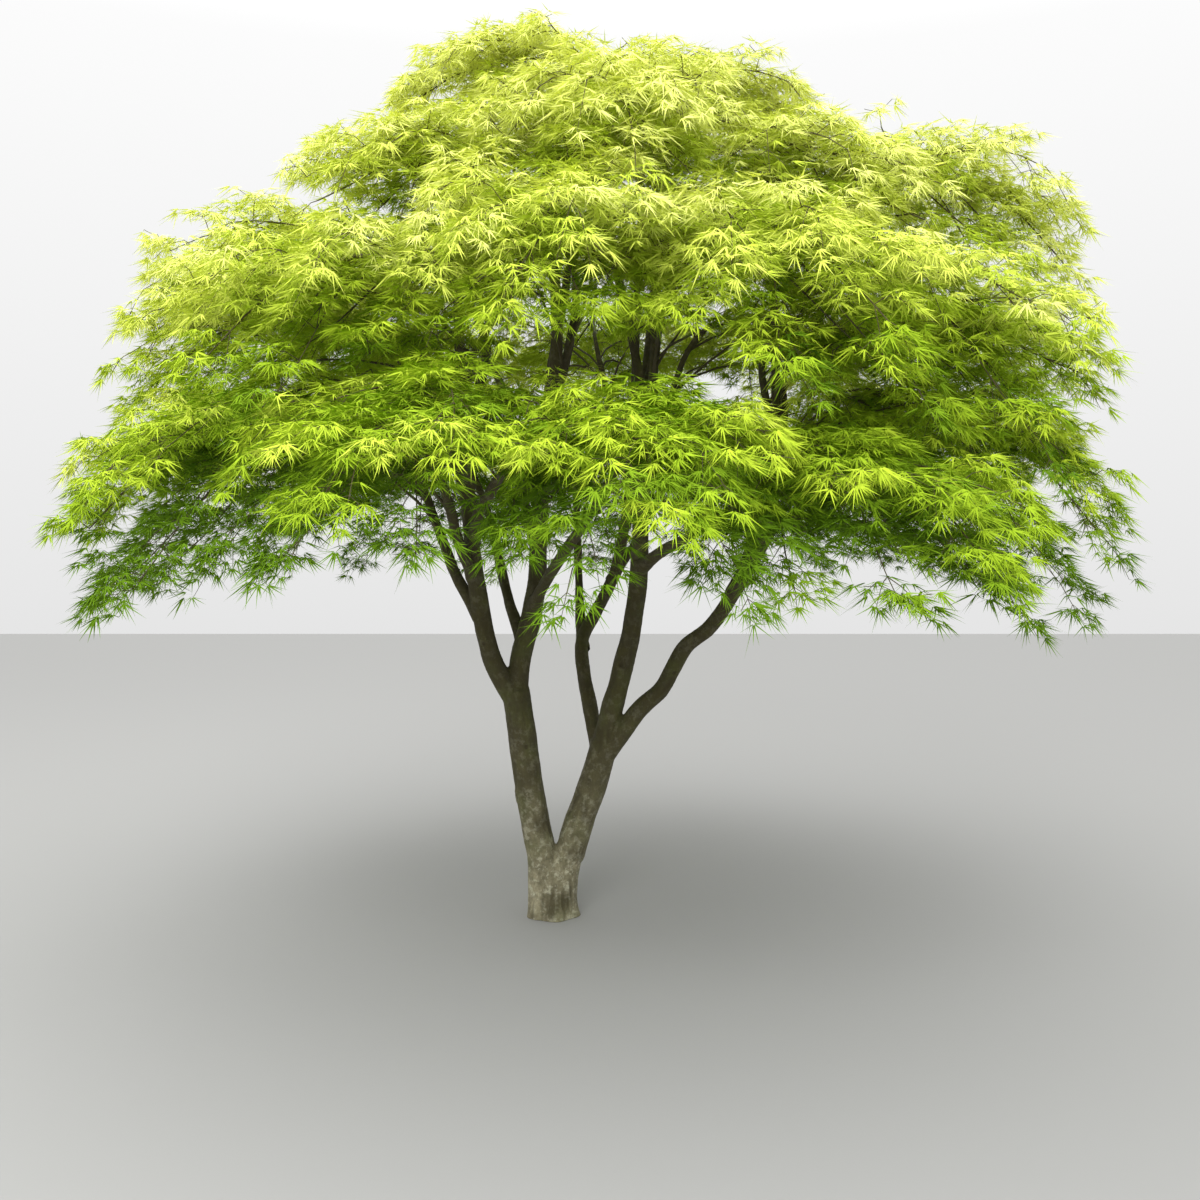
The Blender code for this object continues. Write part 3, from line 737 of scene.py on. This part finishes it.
def leafShapes():
    # Several leaves of one lace-leaf kind, each lying along +X from its petiole's end, and their faces
    rng = np.random.default_rng(leafPlan["seed"])
    lobes = [(-bearing, share) for bearing, share in leafPlan["lobes"][:0:-1]] + [*leafPlan["lobes"]]
    least, grown = leafPlan["widthShares"]
    shapes = []
    for _ in range(leafPlan["variants"]):
        points = []
        for bearing, share in lobes:
            length = leafPlan["span"] * share * rng.uniform(*leafPlan["lengths"])
            start = math.radians(bearing + rng.uniform(*leafPlan["scatter"]))
            bend = rng.uniform(*leafPlan["bend"])
            droop = leafPlan["droop"] * rng.uniform(*leafPlan["droops"])
            twist = rng.uniform(-1.0, 1.0)
            for run, out in lobeOutline:
                angle = start * (1 - bend * run)
                offset = out * leafPlan["width"] * (least + grown * share) * rng.uniform(*leafPlan["widths"])
                points.append((
                    length * run * math.cos(angle) - offset * math.sin(angle),
                    length * run * math.sin(angle) + offset * math.cos(angle),
                    -droop * length * run ** leafPlan["droopPower"] + offset * twist,
                ))
        back, under = petioleFoot()
        half = leafPlan["petioleWidth"]
        points += [(-back, half, -under), (-back, -half, -under), (leafPlan["petioleEnd"], 0.0, 0.0)]
        shapes.append(points)
    return np.array(shapes), np.arange(len(shapes[0])).reshape(-1, 3)


# Leaf colours that paint light and shade: from the palest tips that catch the sky to the deep green of the
# inside
leafTints = {
    "palest lit leaf": (0.82, 0.87, 0.235),
    "yellow lime leaf": (0.70, 0.78, 0.125),
    "bright lime leaf": (0.57, 0.69, 0.068),
    "lime leaf": (0.44, 0.58, 0.034),
    "fresh green leaf": (0.32, 0.47, 0.020),
    "mid green leaf": (0.21, 0.35, 0.013),
    "deep green leaf": (0.12, 0.23, 0.008),
}


def leafFinishes():
    made = []
    for name, colour in leafTints.items():
        look = Finish(name, colour, leafPlan["roughness"])
        look.end.inputs["Specular IOR Level"].default_value = leafPlan["specular"]
        made.append(look)
    return made


# How the twigs of a mass grow. Places, lifts and limits are in the pad's measures, and each kind of
# twig has its radius, the share of it left at its end and its sides.
growthPlan = {
    "rim": 0.92,  # how far the twigs reach in their pad
    "middleStations": 6,
    "middleStep": 0.08,
    "middlePoints": 12,
    "middleBare": 4,  # its first points, which bear no sprays
    "middleWander": ((-0.06, 0.06), (-0.05, 0.25)),  # across and up
    "middleTwig": (0.0062, 0.34, 5),
    # The pairs of side twigs: where they end round the rim in degrees, what they leave and where (a
    # share of the bough, or a place out along the pad), and their lift, which parts them into an
    # upper and a lower sheet
    "pairs": (
        (124, "bough", 0.58, 0.35),
        (104, "bough", 0.70, -0.65),
        (82, "bough", 0.82, 0.50),
        (66, "twig", -0.62, -0.75),
        (46, "twig", -0.36, 0.55),
        (33, "twig", -0.10, -0.70),
        (17, "twig", 0.16, 0.60),
    ),
    "sidePoints": 8,
    "sideTwig": (0.0048, 0.32, 4),
    "sideThicker": (1.35, 0.1),  # the first pair's share of that radius, and what each next one loses
    "rimTurn": (-6, 6),
    "rimReach": (0.93, 1.04),
    "rimLift": (-0.15, 0.15),
    "boughEnd": (0.05, 24),  # step and number of the bough's last points, which side twigs can leave
    "leaveScatter": (-0.05, 0.05),
    "leaveHandle": (0.30, 0.7),  # its length, and how much it turns to the twig's end
    "bowFromBough": (0.45, 0.62, 0.8),
    "bowFromTwig": (0.4, (0.6, 0.6, 0.95)),
    "goalLimit": 1.03,  # how far out of the pad's middle a side twig may end
    "pullIn": (0.94, 0.94, 0.97),  # what brings its end inwards step by step
    "pullStop": 0.3,  # and how near to the pad's middle line that stops
    "shareRoom": 0.12,  # how far twigs and sprays may reach into a neighbour's space
}
sprayPlan = {
    "gap": {"rear": 0.135, "other": 0.157},  # between pairs of sprays, in half lengths of the pad
    "firstGap": (0.5, 0.9),
    "lastGap": 0.3,  # the least after the last pair
    "gapScatter": (-0.2, 0.2),
    "within": 0.97,  # how far inside the pad a twig has its first pair
    "ahead": 0.05,
    "lean": (40, 62),
    "length": (0.15, 0.26),  # at the ends of a twig, and how long a spray may get between them
    "lengthArch": (0.25, 0.65),
    "lengths": (0.85, 1.1),
    "endLean": (-0.2, 0.2),
    "endLength": (0.12, 0.17),
    "outward": (0.25, (0.55, 0.0)),  # how much sprays turn away from the pad's root, and its place
    "rise": (-0.30, 0.60),
    "bow": (0.55, 0.62),  # a spray's third handle, in its length and its rise
    "tip": (0.80, 0.16),  # what its tip has of the rise, and how far it hangs
    "handle": 0.66,  # its second handle, on the way to the third
    "points": 4,
    "twig": (0.0018, 0.45, 3),
    "limit": 1.12,  # how far out of the pad's middle it may end
    "lowest": -0.85,  # and how far under it, in half thicknesses
}
twigletPlan = {
    "start": (0.4, 0.6),  # between a spray's second and third point
    "lean": (38, 60),
    "length": (0.045, 0.07),
    "rise": (-0.25, 0.3),
    "twig": (0.0011, 1.0, 3),
}
# How the leaves sit: their turns in degrees from the way of what they sit on, at each kind of place
seatPlan = {
    "turns": {
        "tip": (0, 36, -36),
        "nearTip": (54, -54),
        "outer": (62, -62),
        "inner": (74, -74),
        "twigletTip": (4, 48, -48),
        "twigletMiddle": (72, -72),
    },
    "turnScatter": (-32, 32),
    "away": (0.10, 0.25, 1.1),  # the turn away from the pad's middle, what the rim adds, and its limit
    "outward": 0.10,
    "hang": (-14, 24),
    "rimHang": 22,
    "roll": (-38, 38),
    "size": (0.82, 1.16),
    "limit": 1.34,  # how far out of the pad's middle a leaf may reach
    "room": 0.35,  # and how far into a neighbour's space
}
# What makes a spray pale, as painted light, or dark, as painted shade: its height and distance out on the
# crown's flanks or its height at the top (start and span, then the most), its lift and its place towards the
# rim, and some chance
tintPlan = {
    "flankHeight": (1.5, 0.95),
    "flankDistance": (0.2, 0.65),
    "top": (2.15, 0.6, 1.3),
    "lift": (0.62, 0.22, 1.2),  # its weight, what the open sky takes off that, and its limit
    "rim": (0.45, 0.6),  # weight and level
    "sky": (1.35, 0.48),
    "chance": 0.16,
    "steps": (-0.95, -0.62, -0.32, -0.02, 0.30, 0.66),  # between the tints, from light to dark
}


def turned(ways, angles):
    # Level directions, each turned by its own angle
    cos, sin = np.cos(angles), np.sin(angles)
    return np.column_stack((ways[:, 0] * cos - ways[:, 1] * sin, ways[:, 0] * sin + ways[:, 1] * cos))


def climb(values, start, span, most=1.0):
    return np.clip((values - start) / span, 0.0, most)


class Mass:
    # Grows one mass of foliage on from its bough: a middle twig, side twigs in opposite pairs
    # that fan out to the rim, sprays in pairs along those, twiglets in pairs and leaves
    def __init__(self, name, pad, others, carrier, number):
        self.name = name
        self.pad = pad
        self.others = others
        self.carrier = carrier
        self.rng = np.random.default_rng(leafPlan["seed"] + 17 * number)
        self.lots = []

    def owned(self, points, reach, room=growthPlan["shareRoom"]):
        # Which points are in this mass's own space and not deeper in a neighbour's
        own = self.pad.measure(points)
        nearest = np.min([other.measure(points) for other in self.others], axis=0)
        return (own < reach) & (nearest > own - room)

    def addTwigs(self, lines, radii, thinnest, sides):
        # Keeps tubes along lines of as many points each, with a share of the radius at their ends
        thin = np.linspace(1.0, thinnest, lines.shape[1])
        self.lots.append(tubes(lines, np.reshape(radii, (-1, 1)) * thin, sides))

    def middleTwig(self):
        root, way = self.pad.root()
        stations = np.linspace(crownPlan["rootPlace"][0], growthPlan["rim"], growthPlan["middleStations"])
        points = [root, root + woodPlan["handOver"] * way]
        for p in stations[1:]:
            q, lift = (self.rng.uniform(*wander) for wander in growthPlan["middleWander"])
            points.append(self.pad.place((p, q, lift)))
        line = smoothLine(points, growthPlan["middleStep"])
        rows = np.linspace(0, len(line) - 1, growthPlan["middlePoints"])
        return np.column_stack([np.interp(rows, np.arange(len(line)), line[:, k]) for k in range(3)])

    def rimPlace(self, bearing, hand, lift):
        angle = math.radians(bearing + self.rng.uniform(*growthPlan["rimTurn"]))
        reach = growthPlan["rim"] * self.rng.uniform(*growthPlan["rimReach"])
        lift = lift + self.rng.uniform(*growthPlan["rimLift"])
        return np.array((reach * math.cos(angle), hand * reach * math.sin(angle), lift))

    def sideGoal(self, bearing, hand, lift):
        # Where a side twig ends in the pad's measures, pulled in until it is in the mass's own space
        goal = self.rimPlace(bearing, hand, lift)
        while abs(goal[1]) > growthPlan["pullStop"]:
            if self.owned(self.pad.place(goal)[None], growthPlan["goalLimit"])[0]:
                break
            goal = goal * growthPlan["pullIn"]
        return goal

    def sideTwigs(self, middle):
        # The first pairs leave the bough before it enters the pad, the others the middle twig
        lines, radii = [], []
        step, last = growthPlan["boughEnd"]
        run = self.carrier.fine(step)[0][-last:]
        middlePlan = self.pad.plan(middle)
        radius = growthPlan["sideTwig"][0]
        first, less = growthPlan["sideThicker"]
        handle, turn = growthPlan["leaveHandle"]
        fromMiddle, fromGoal = growthPlan["bowFromTwig"]
        for k, (bearing, carrier, leaves, lift) in enumerate(growthPlan["pairs"]):
            for hand in (-1, 1):
                goal = self.sideGoal(bearing, hand, lift)
                end = self.pad.place(goal)
                leavesAt = leaves + self.rng.uniform(*growthPlan["leaveScatter"])
                if carrier == "bough":
                    at = int(leavesAt * (len(run) - 2))
                    start, way = run[at], unit(run[at + 1] - run[at])
                    inner = self.pad.place(goal * growthPlan["bowFromBough"])
                else:
                    at = int(np.argmin(np.abs(middlePlan[:, 0] - leavesAt)))
                    start, way = middle[at], unit(middle[at + 1] - middle[at])
                    inner = self.pad.place(middlePlan[at] * fromMiddle + goal * fromGoal)
                span = np.linalg.norm(end - start)
                leave = start + span * handle * unit(way + turn * unit(end - start))
                lines.append(arch(start, leave, inner, end, growthPlan["sidePoints"]))
                radii.append(radius * (first - less * k))
        return np.array(lines), np.array(radii)

    def sprayStarts(self, lines):
        # Places for the pairs of sprays along the twigs inside the pad, and the way the twig runs there
        places, ways, shares = [], [], []
        gap = sprayPlan["gap"].get(padPlan[self.name][0], sprayPlan["gap"]["other"])
        for line in lines:
            plan = self.pad.plan(line)
            steps = np.linalg.norm(np.diff(plan[:, :2], axis=0), axis=1)
            run = np.concatenate(([0.0], np.cumsum(steps)))
            inside = np.linalg.norm(plan[:, :2], axis=1) < sprayPlan["within"]
            first = run[np.argmax(inside)] + gap * self.rng.uniform(*sprayPlan["firstGap"])
            for at in np.arange(first, run[-1] - sprayPlan["lastGap"] * gap, gap):
                at = at + self.rng.uniform(*sprayPlan["gapScatter"]) * gap
                here, ahead = (
                    np.array([np.interp(where, run, plan[:, k]) for k in range(3)])
                    for where in (at, at + sprayPlan["ahead"])
                )
                way = (ahead - here)[:2]
                if np.linalg.norm(way) < 1e-6:
                    continue
                places.append(here)
                ways.append(way / np.linalg.norm(way))
                shares.append(at / run[-1])
        return np.array(places), np.array(ways), np.array(shares)

    def sprays(self, lines):
        # Each spray as a line in the pad's measures, in opposite pairs, with one more at each twig's end
        rng = self.rng
        places, ways, shares = self.sprayStarts(lines)
        starts = np.concatenate((places, places))
        ways = np.concatenate((ways, ways))
        hands = np.repeat((1.0, -1.0), len(places))
        shares = np.concatenate((shares, shares))
        lean = np.radians(rng.uniform(*sprayPlan["lean"], len(starts))) * hands
        short, long = sprayPlan["length"]
        first, swing = sprayPlan["lengthArch"]
        longer = (long - short) * np.sin(math.pi * (first + swing * shares))
        reach = short + longer * rng.uniform(*sprayPlan["lengths"], len(starts))

        tips = self.pad.plan(lines[:, -1])
        before = self.pad.plan(lines[:, -2])
        starts = np.concatenate((starts, tips))
        ways = np.concatenate((ways, unit((tips - before)[:, :2])))
        lean = np.concatenate((lean, rng.uniform(*sprayPlan["endLean"], len(tips))))
        reach = np.concatenate((reach, rng.uniform(*sprayPlan["endLength"], len(tips))))

        away, root = sprayPlan["outward"]
        spread = unit(turned(ways, lean) + away * unit(starts[:, :2] + root))
        rise = rng.uniform(*sprayPlan["rise"], len(starts))
        bow, bowRise = sprayPlan["bow"]
        tipRise, hang = sprayPlan["tip"]
        middle = starts + np.column_stack((spread * reach[:, None] * bow, rise * bowRise))
        finish = starts + np.column_stack((spread * reach[:, None], rise * tipRise - hang))
        finish[:, 2] = np.maximum(finish[:, 2], sprayPlan["lowest"])
        kept = self.owned(self.pad.place(finish), sprayPlan["limit"])
        kept[-len(tips):] = True
        starts, middle, finish = starts[kept], middle[kept], finish[kept]
        leave = starts + (middle - starts) * sprayPlan["handle"]
        return self.pad.place(arch(starts, leave, middle, finish, sprayPlan["points"])), finish

    def grow(self):
        middle = self.middleTwig()
        sides, sideRadii = self.sideTwigs(middle)
        self.addTwigs(middle[None], *growthPlan["middleTwig"])
        self.addTwigs(sides, sideRadii, *growthPlan["sideTwig"][1:])
        spraysFromSides, endsFromSides = self.sprays(sides)
        spraysFromMiddle, endsFromMiddle = self.sprays(middle[None, growthPlan["middleBare"]:])
        sprays = np.concatenate((spraysFromSides, spraysFromMiddle))
        self.addTwigs(sprays, *sprayPlan["twig"])
        return sprays, np.concatenate((endsFromSides, endsFromMiddle))

    def twiglets(self, sprays):
        # A pair of short twiglets from the middle of each spray
        rng = self.rng
        inner, outer = twigletPlan["start"]
        start = np.repeat(sprays[:, 1] * inner + sprays[:, 2] * outer, 2, axis=0)
        way = np.repeat(unit(sprays[:, 2] - sprays[:, 1]), 2, axis=0)
        hand = np.tile((1.0, -1.0), len(sprays))
        side = unit(np.cross(up, way)) * hand[:, None]
        lean = np.radians(rng.uniform(*twigletPlan["lean"], len(start)))[:, None]
        reach = rng.uniform(*twigletPlan["length"], len(start))[:, None]
        rise = rng.uniform(*twigletPlan["rise"], (len(start), 1))
        end = start + reach * (way * np.cos(lean) + side * np.sin(lean) + up * rise)
        lines = np.stack((start, end), axis=1)
        self.addTwigs(lines, *twigletPlan["twig"])
        return lines

    def leafSeats(self, sprays, twiglets):
        # Where the leaves sit, the way they head, their turn and the spray that each belongs to
        number = np.arange(len(sprays))
        twice = np.repeat(number, 2)
        inner, outer, tip = sprays[:, 1], sprays[:, 2], sprays[:, -1]
        root, small = twiglets[:, 0], twiglets[:, 1]
        along, smallWay = unit(tip - sprays[:, -2]), unit(small - root)
        spots = {
            "tip": (tip, along, number),
            "nearTip": ((tip + outer) / 2, along, number),
            "outer": (outer, along, number),
            "inner": (inner, along, number),
            "twigletTip": (small, smallWay, twice),
            "twigletMiddle": ((small + root) / 2, smallWay, twice),
        }
        seats = [(*spots[spot], turn) for spot, turns in seatPlan["turns"].items() for turn in turns]
        places, ways, owners = (np.concatenate([seat[k] for seat in seats]) for k in range(3))
        turns = np.radians(np.concatenate([np.full(len(seat[0]), seat[3]) for seat in seats]))
        turns = turns + np.radians(self.rng.uniform(*seatPlan["turnScatter"], len(turns)))
        return places, ways, turns, owners

    def leaves(self, sprays, ends, twiglets, shapes, faces):
        rng = self.rng
        places, ways, turns, owners = self.leafSeats(sprays, twiglets)
        level = unit(ways * (1.0, 1.0, 0.0))
        heading = np.column_stack((turned(level, turns), np.zeros(len(turns))))
        plan = self.pad.plan(places)
        away = plan[:, :1] * self.pad.out * self.pad.length
        away = unit(away + plan[:, 1:2] * self.pad.side * self.pad.width)
        turn, rimTurn, rimLimit = seatPlan["away"]
        rim = np.clip(np.linalg.norm(plan[:, :2], axis=1), 0.0, rimLimit)
        heading = heading + away * (turn + rimTurn * rim)[:, None]
        heading = unit(heading + self.pad.out * seatPlan["outward"])
        hang = np.radians(rng.uniform(*seatPlan["hang"], len(places)) + seatPlan["rimHang"] * rim**2)[:, None]
        roll = np.radians(rng.uniform(*seatPlan["roll"], len(places)))[:, None]
        forward = heading * np.cos(hang) - up * np.sin(hang)
        side = np.cross(up, heading)
        normal = np.cross(forward, side)
        cos, sin = np.cos(roll), np.sin(roll)
        side, normal = side * cos + normal * sin, normal * cos - side * sin
        size = rng.uniform(*seatPlan["size"], len(places))[:, None]
        back, under = petioleFoot()
        origin = places + size * (forward * back + normal * under)
        reach = origin + forward * leafPlan["span"] * size
        kept = self.owned(reach, seatPlan["limit"], seatPlan["room"])
        kind = rng.integers(0, len(shapes), len(places))
        basis = np.stack((forward, side, normal), axis=1)
        points = np.einsum("npi,nij->npj", shapes[kind][kept] * size[kept][:, None], basis[kept])
        points = points + origin[kept][:, None]
        count = points.shape[1]
        corners = faces[None] + count * np.arange(len(points))[:, None, None]
        # Each leaf takes its spray's tint, its painted light or shade
        tint = self.tint(sprays[:, -1], ends)[owners][kept]
        return points.reshape(-1, 3), corners.reshape(-1, 3), np.repeat(tint, len(faces))

    def tint(self, tips, ends):
        # Painted light and shade: sprays open to the sky get the palest tints, high in their mass and out at
        # its rim, in a mass that nothing overhangs, and the others darker ones, with some chance in it
        outward = np.linalg.norm((tips - crownPlan["axis"])[:, :2], axis=1)
        height = tips[:, 2]
        flank = climb(height, *tintPlan["flankHeight"]) * climb(outward, *tintPlan["flankDistance"])
        sky = np.maximum(flank, climb(height, *tintPlan["top"]))
        rim = np.linalg.norm(ends[:, :2], axis=1)
        lift, less, limit = tintPlan["lift"]
        rimWeight, rimLevel = tintPlan["rim"]
        skyWeight, skyLevel = tintPlan["sky"]
        light = (lift - less * sky) * np.clip(ends[:, 2], -limit, limit)
        light = light + rimWeight * (rim - rimLevel) + skyWeight * (sky - skyLevel)
        light += self.rng.normal(0.0, tintPlan["chance"], len(ends))
        return np.digitize(-light, tintPlan["steps"])


def makeFoliage(pads, limbs, twigLook, leafLooks):
    shapes, faces = leafShapes()
    twigCount = leafCount = 0
    for number, (name, pad) in enumerate(pads.items()):
        carrier = limbs.get(f"bough_{name}", limbs[padPlan[name][1]])
        others = [other for other in pads.values() if other is not pad]
        mass = Mass(name, pad, others, carrier, number)
        sprays, ends = mass.grow()
        twiglets = mass.twiglets(sprays)
        points, corners, dealt = mass.leaves(sprays, ends, twiglets, shapes, faces)
        twigPoints, twigFaces = joined(mass.lots)
        twigs = addPiece(f"twigs_{name}", twigPoints, twigFaces, [twigLook])
        twigs.data.shade_smooth()
        dress(twigs, [f"foliage_{name}"])
        leaves = addPiece(f"leaves_{name}", points, corners, leafLooks, dealt)
        dress(leaves, [f"foliage_{name}"])
        twigCount += 2 * len(twigFaces)
        leafCount += len(corners)
    print("twigs:", twigCount, "triangles")
    print("leaves:", leafCount // len(faces), "leaves,", leafCount, "triangles")


studioPlan = {
    "lens": 33.0,
    "sensor": 36.0,
    "farthest": 60.0,
    "eye": (0.192, -4.4, 1.5),
    "tilt": -2.9,
    "floor": 14.0,  # half its side
    "floorDrop": 0.001,
    "floorColour": (0.34, 0.34, 0.33),
    "floorRoughness": 0.9,
    # from straight down to straight up
    "sky": ((0.0, 0.20), (0.5, 0.42), (0.7, 0.50), (0.84, 0.82), (1.0, 0.94)),
    "skyStrength": 1.95,
    "lamps": (  # place, size, watts
        ((-1.6, -6.6, 5.0), 4.0, 430.0),
        ((-2.6, 2.2, 7.5), 4.0, 60.0),
    ),
    "aim": (0.2, 0.0, 1.9),
}


def studio():
    scene = bpy.context.scene
    camera = placed("camera", bpy.data.cameras.new("camera"))
    camera.data.lens = studioPlan["lens"]
    camera.data.sensor_width = studioPlan["sensor"]
    camera.location = studioPlan["eye"]
    camera.rotation_euler = (math.radians(90 + studioPlan["tilt"]), 0.0, 0.0)
    camera.data.clip_end = studioPlan["farthest"]
    scene.camera = camera

    half, low = studioPlan["floor"], -studioPlan["floorDrop"]
    corners = np.array(((-half, -half, low), (half, -half, low), (half, half, low), (-half, half, low)))
    look = Finish("pale floor", studioPlan["floorColour"], studioPlan["floorRoughness"])
    floor = addPiece("studio_floor", corners, np.array([[0, 1, 2, 3]]), [look])

    for k, (place, size, watts) in enumerate(studioPlan["lamps"]):
        light = bpy.data.lights.new(f"soft lamp {k}", "AREA")
        light.size = size
        light.energy = watts
        lamp = placed(f"soft lamp {k}", light)
        lamp.location = place
        lamp.rotation_euler = (Vector(studioPlan["aim"]) - Vector(place)).to_track_quat("-Z", "Y").to_euler()

    world = bpy.data.worlds.new("pale sky")
    world.use_nodes = True
    web = Web(world.node_tree, "Background")
    way = web.node("ShaderNodeTexCoord", {}, {}, "Generated")
    height = web.node("ShaderNodeSeparateXYZ", {}, {0: way}, "Z")
    web.feed("Color", web.ramp(height * 0.5 + 0.5, *studioPlan["sky"]))
    web.end.inputs["Strength"].default_value = studioPlan["skyStrength"]
    scene.world = world
    scene.view_settings.view_transform = "Standard"
    print("studio ready")


studio()
pads = {name: Pad(row[0], *row[3:]) for name, row in padPlan.items()}
limbs = makeLimbs(pads)
barkLooks = barkFinish()
trunkAndLimbs(limbs, barkLooks)
boughBark(limbs, barkLooks)
makeFoliage(pads, limbs, twigFinish(), leafFinishes())
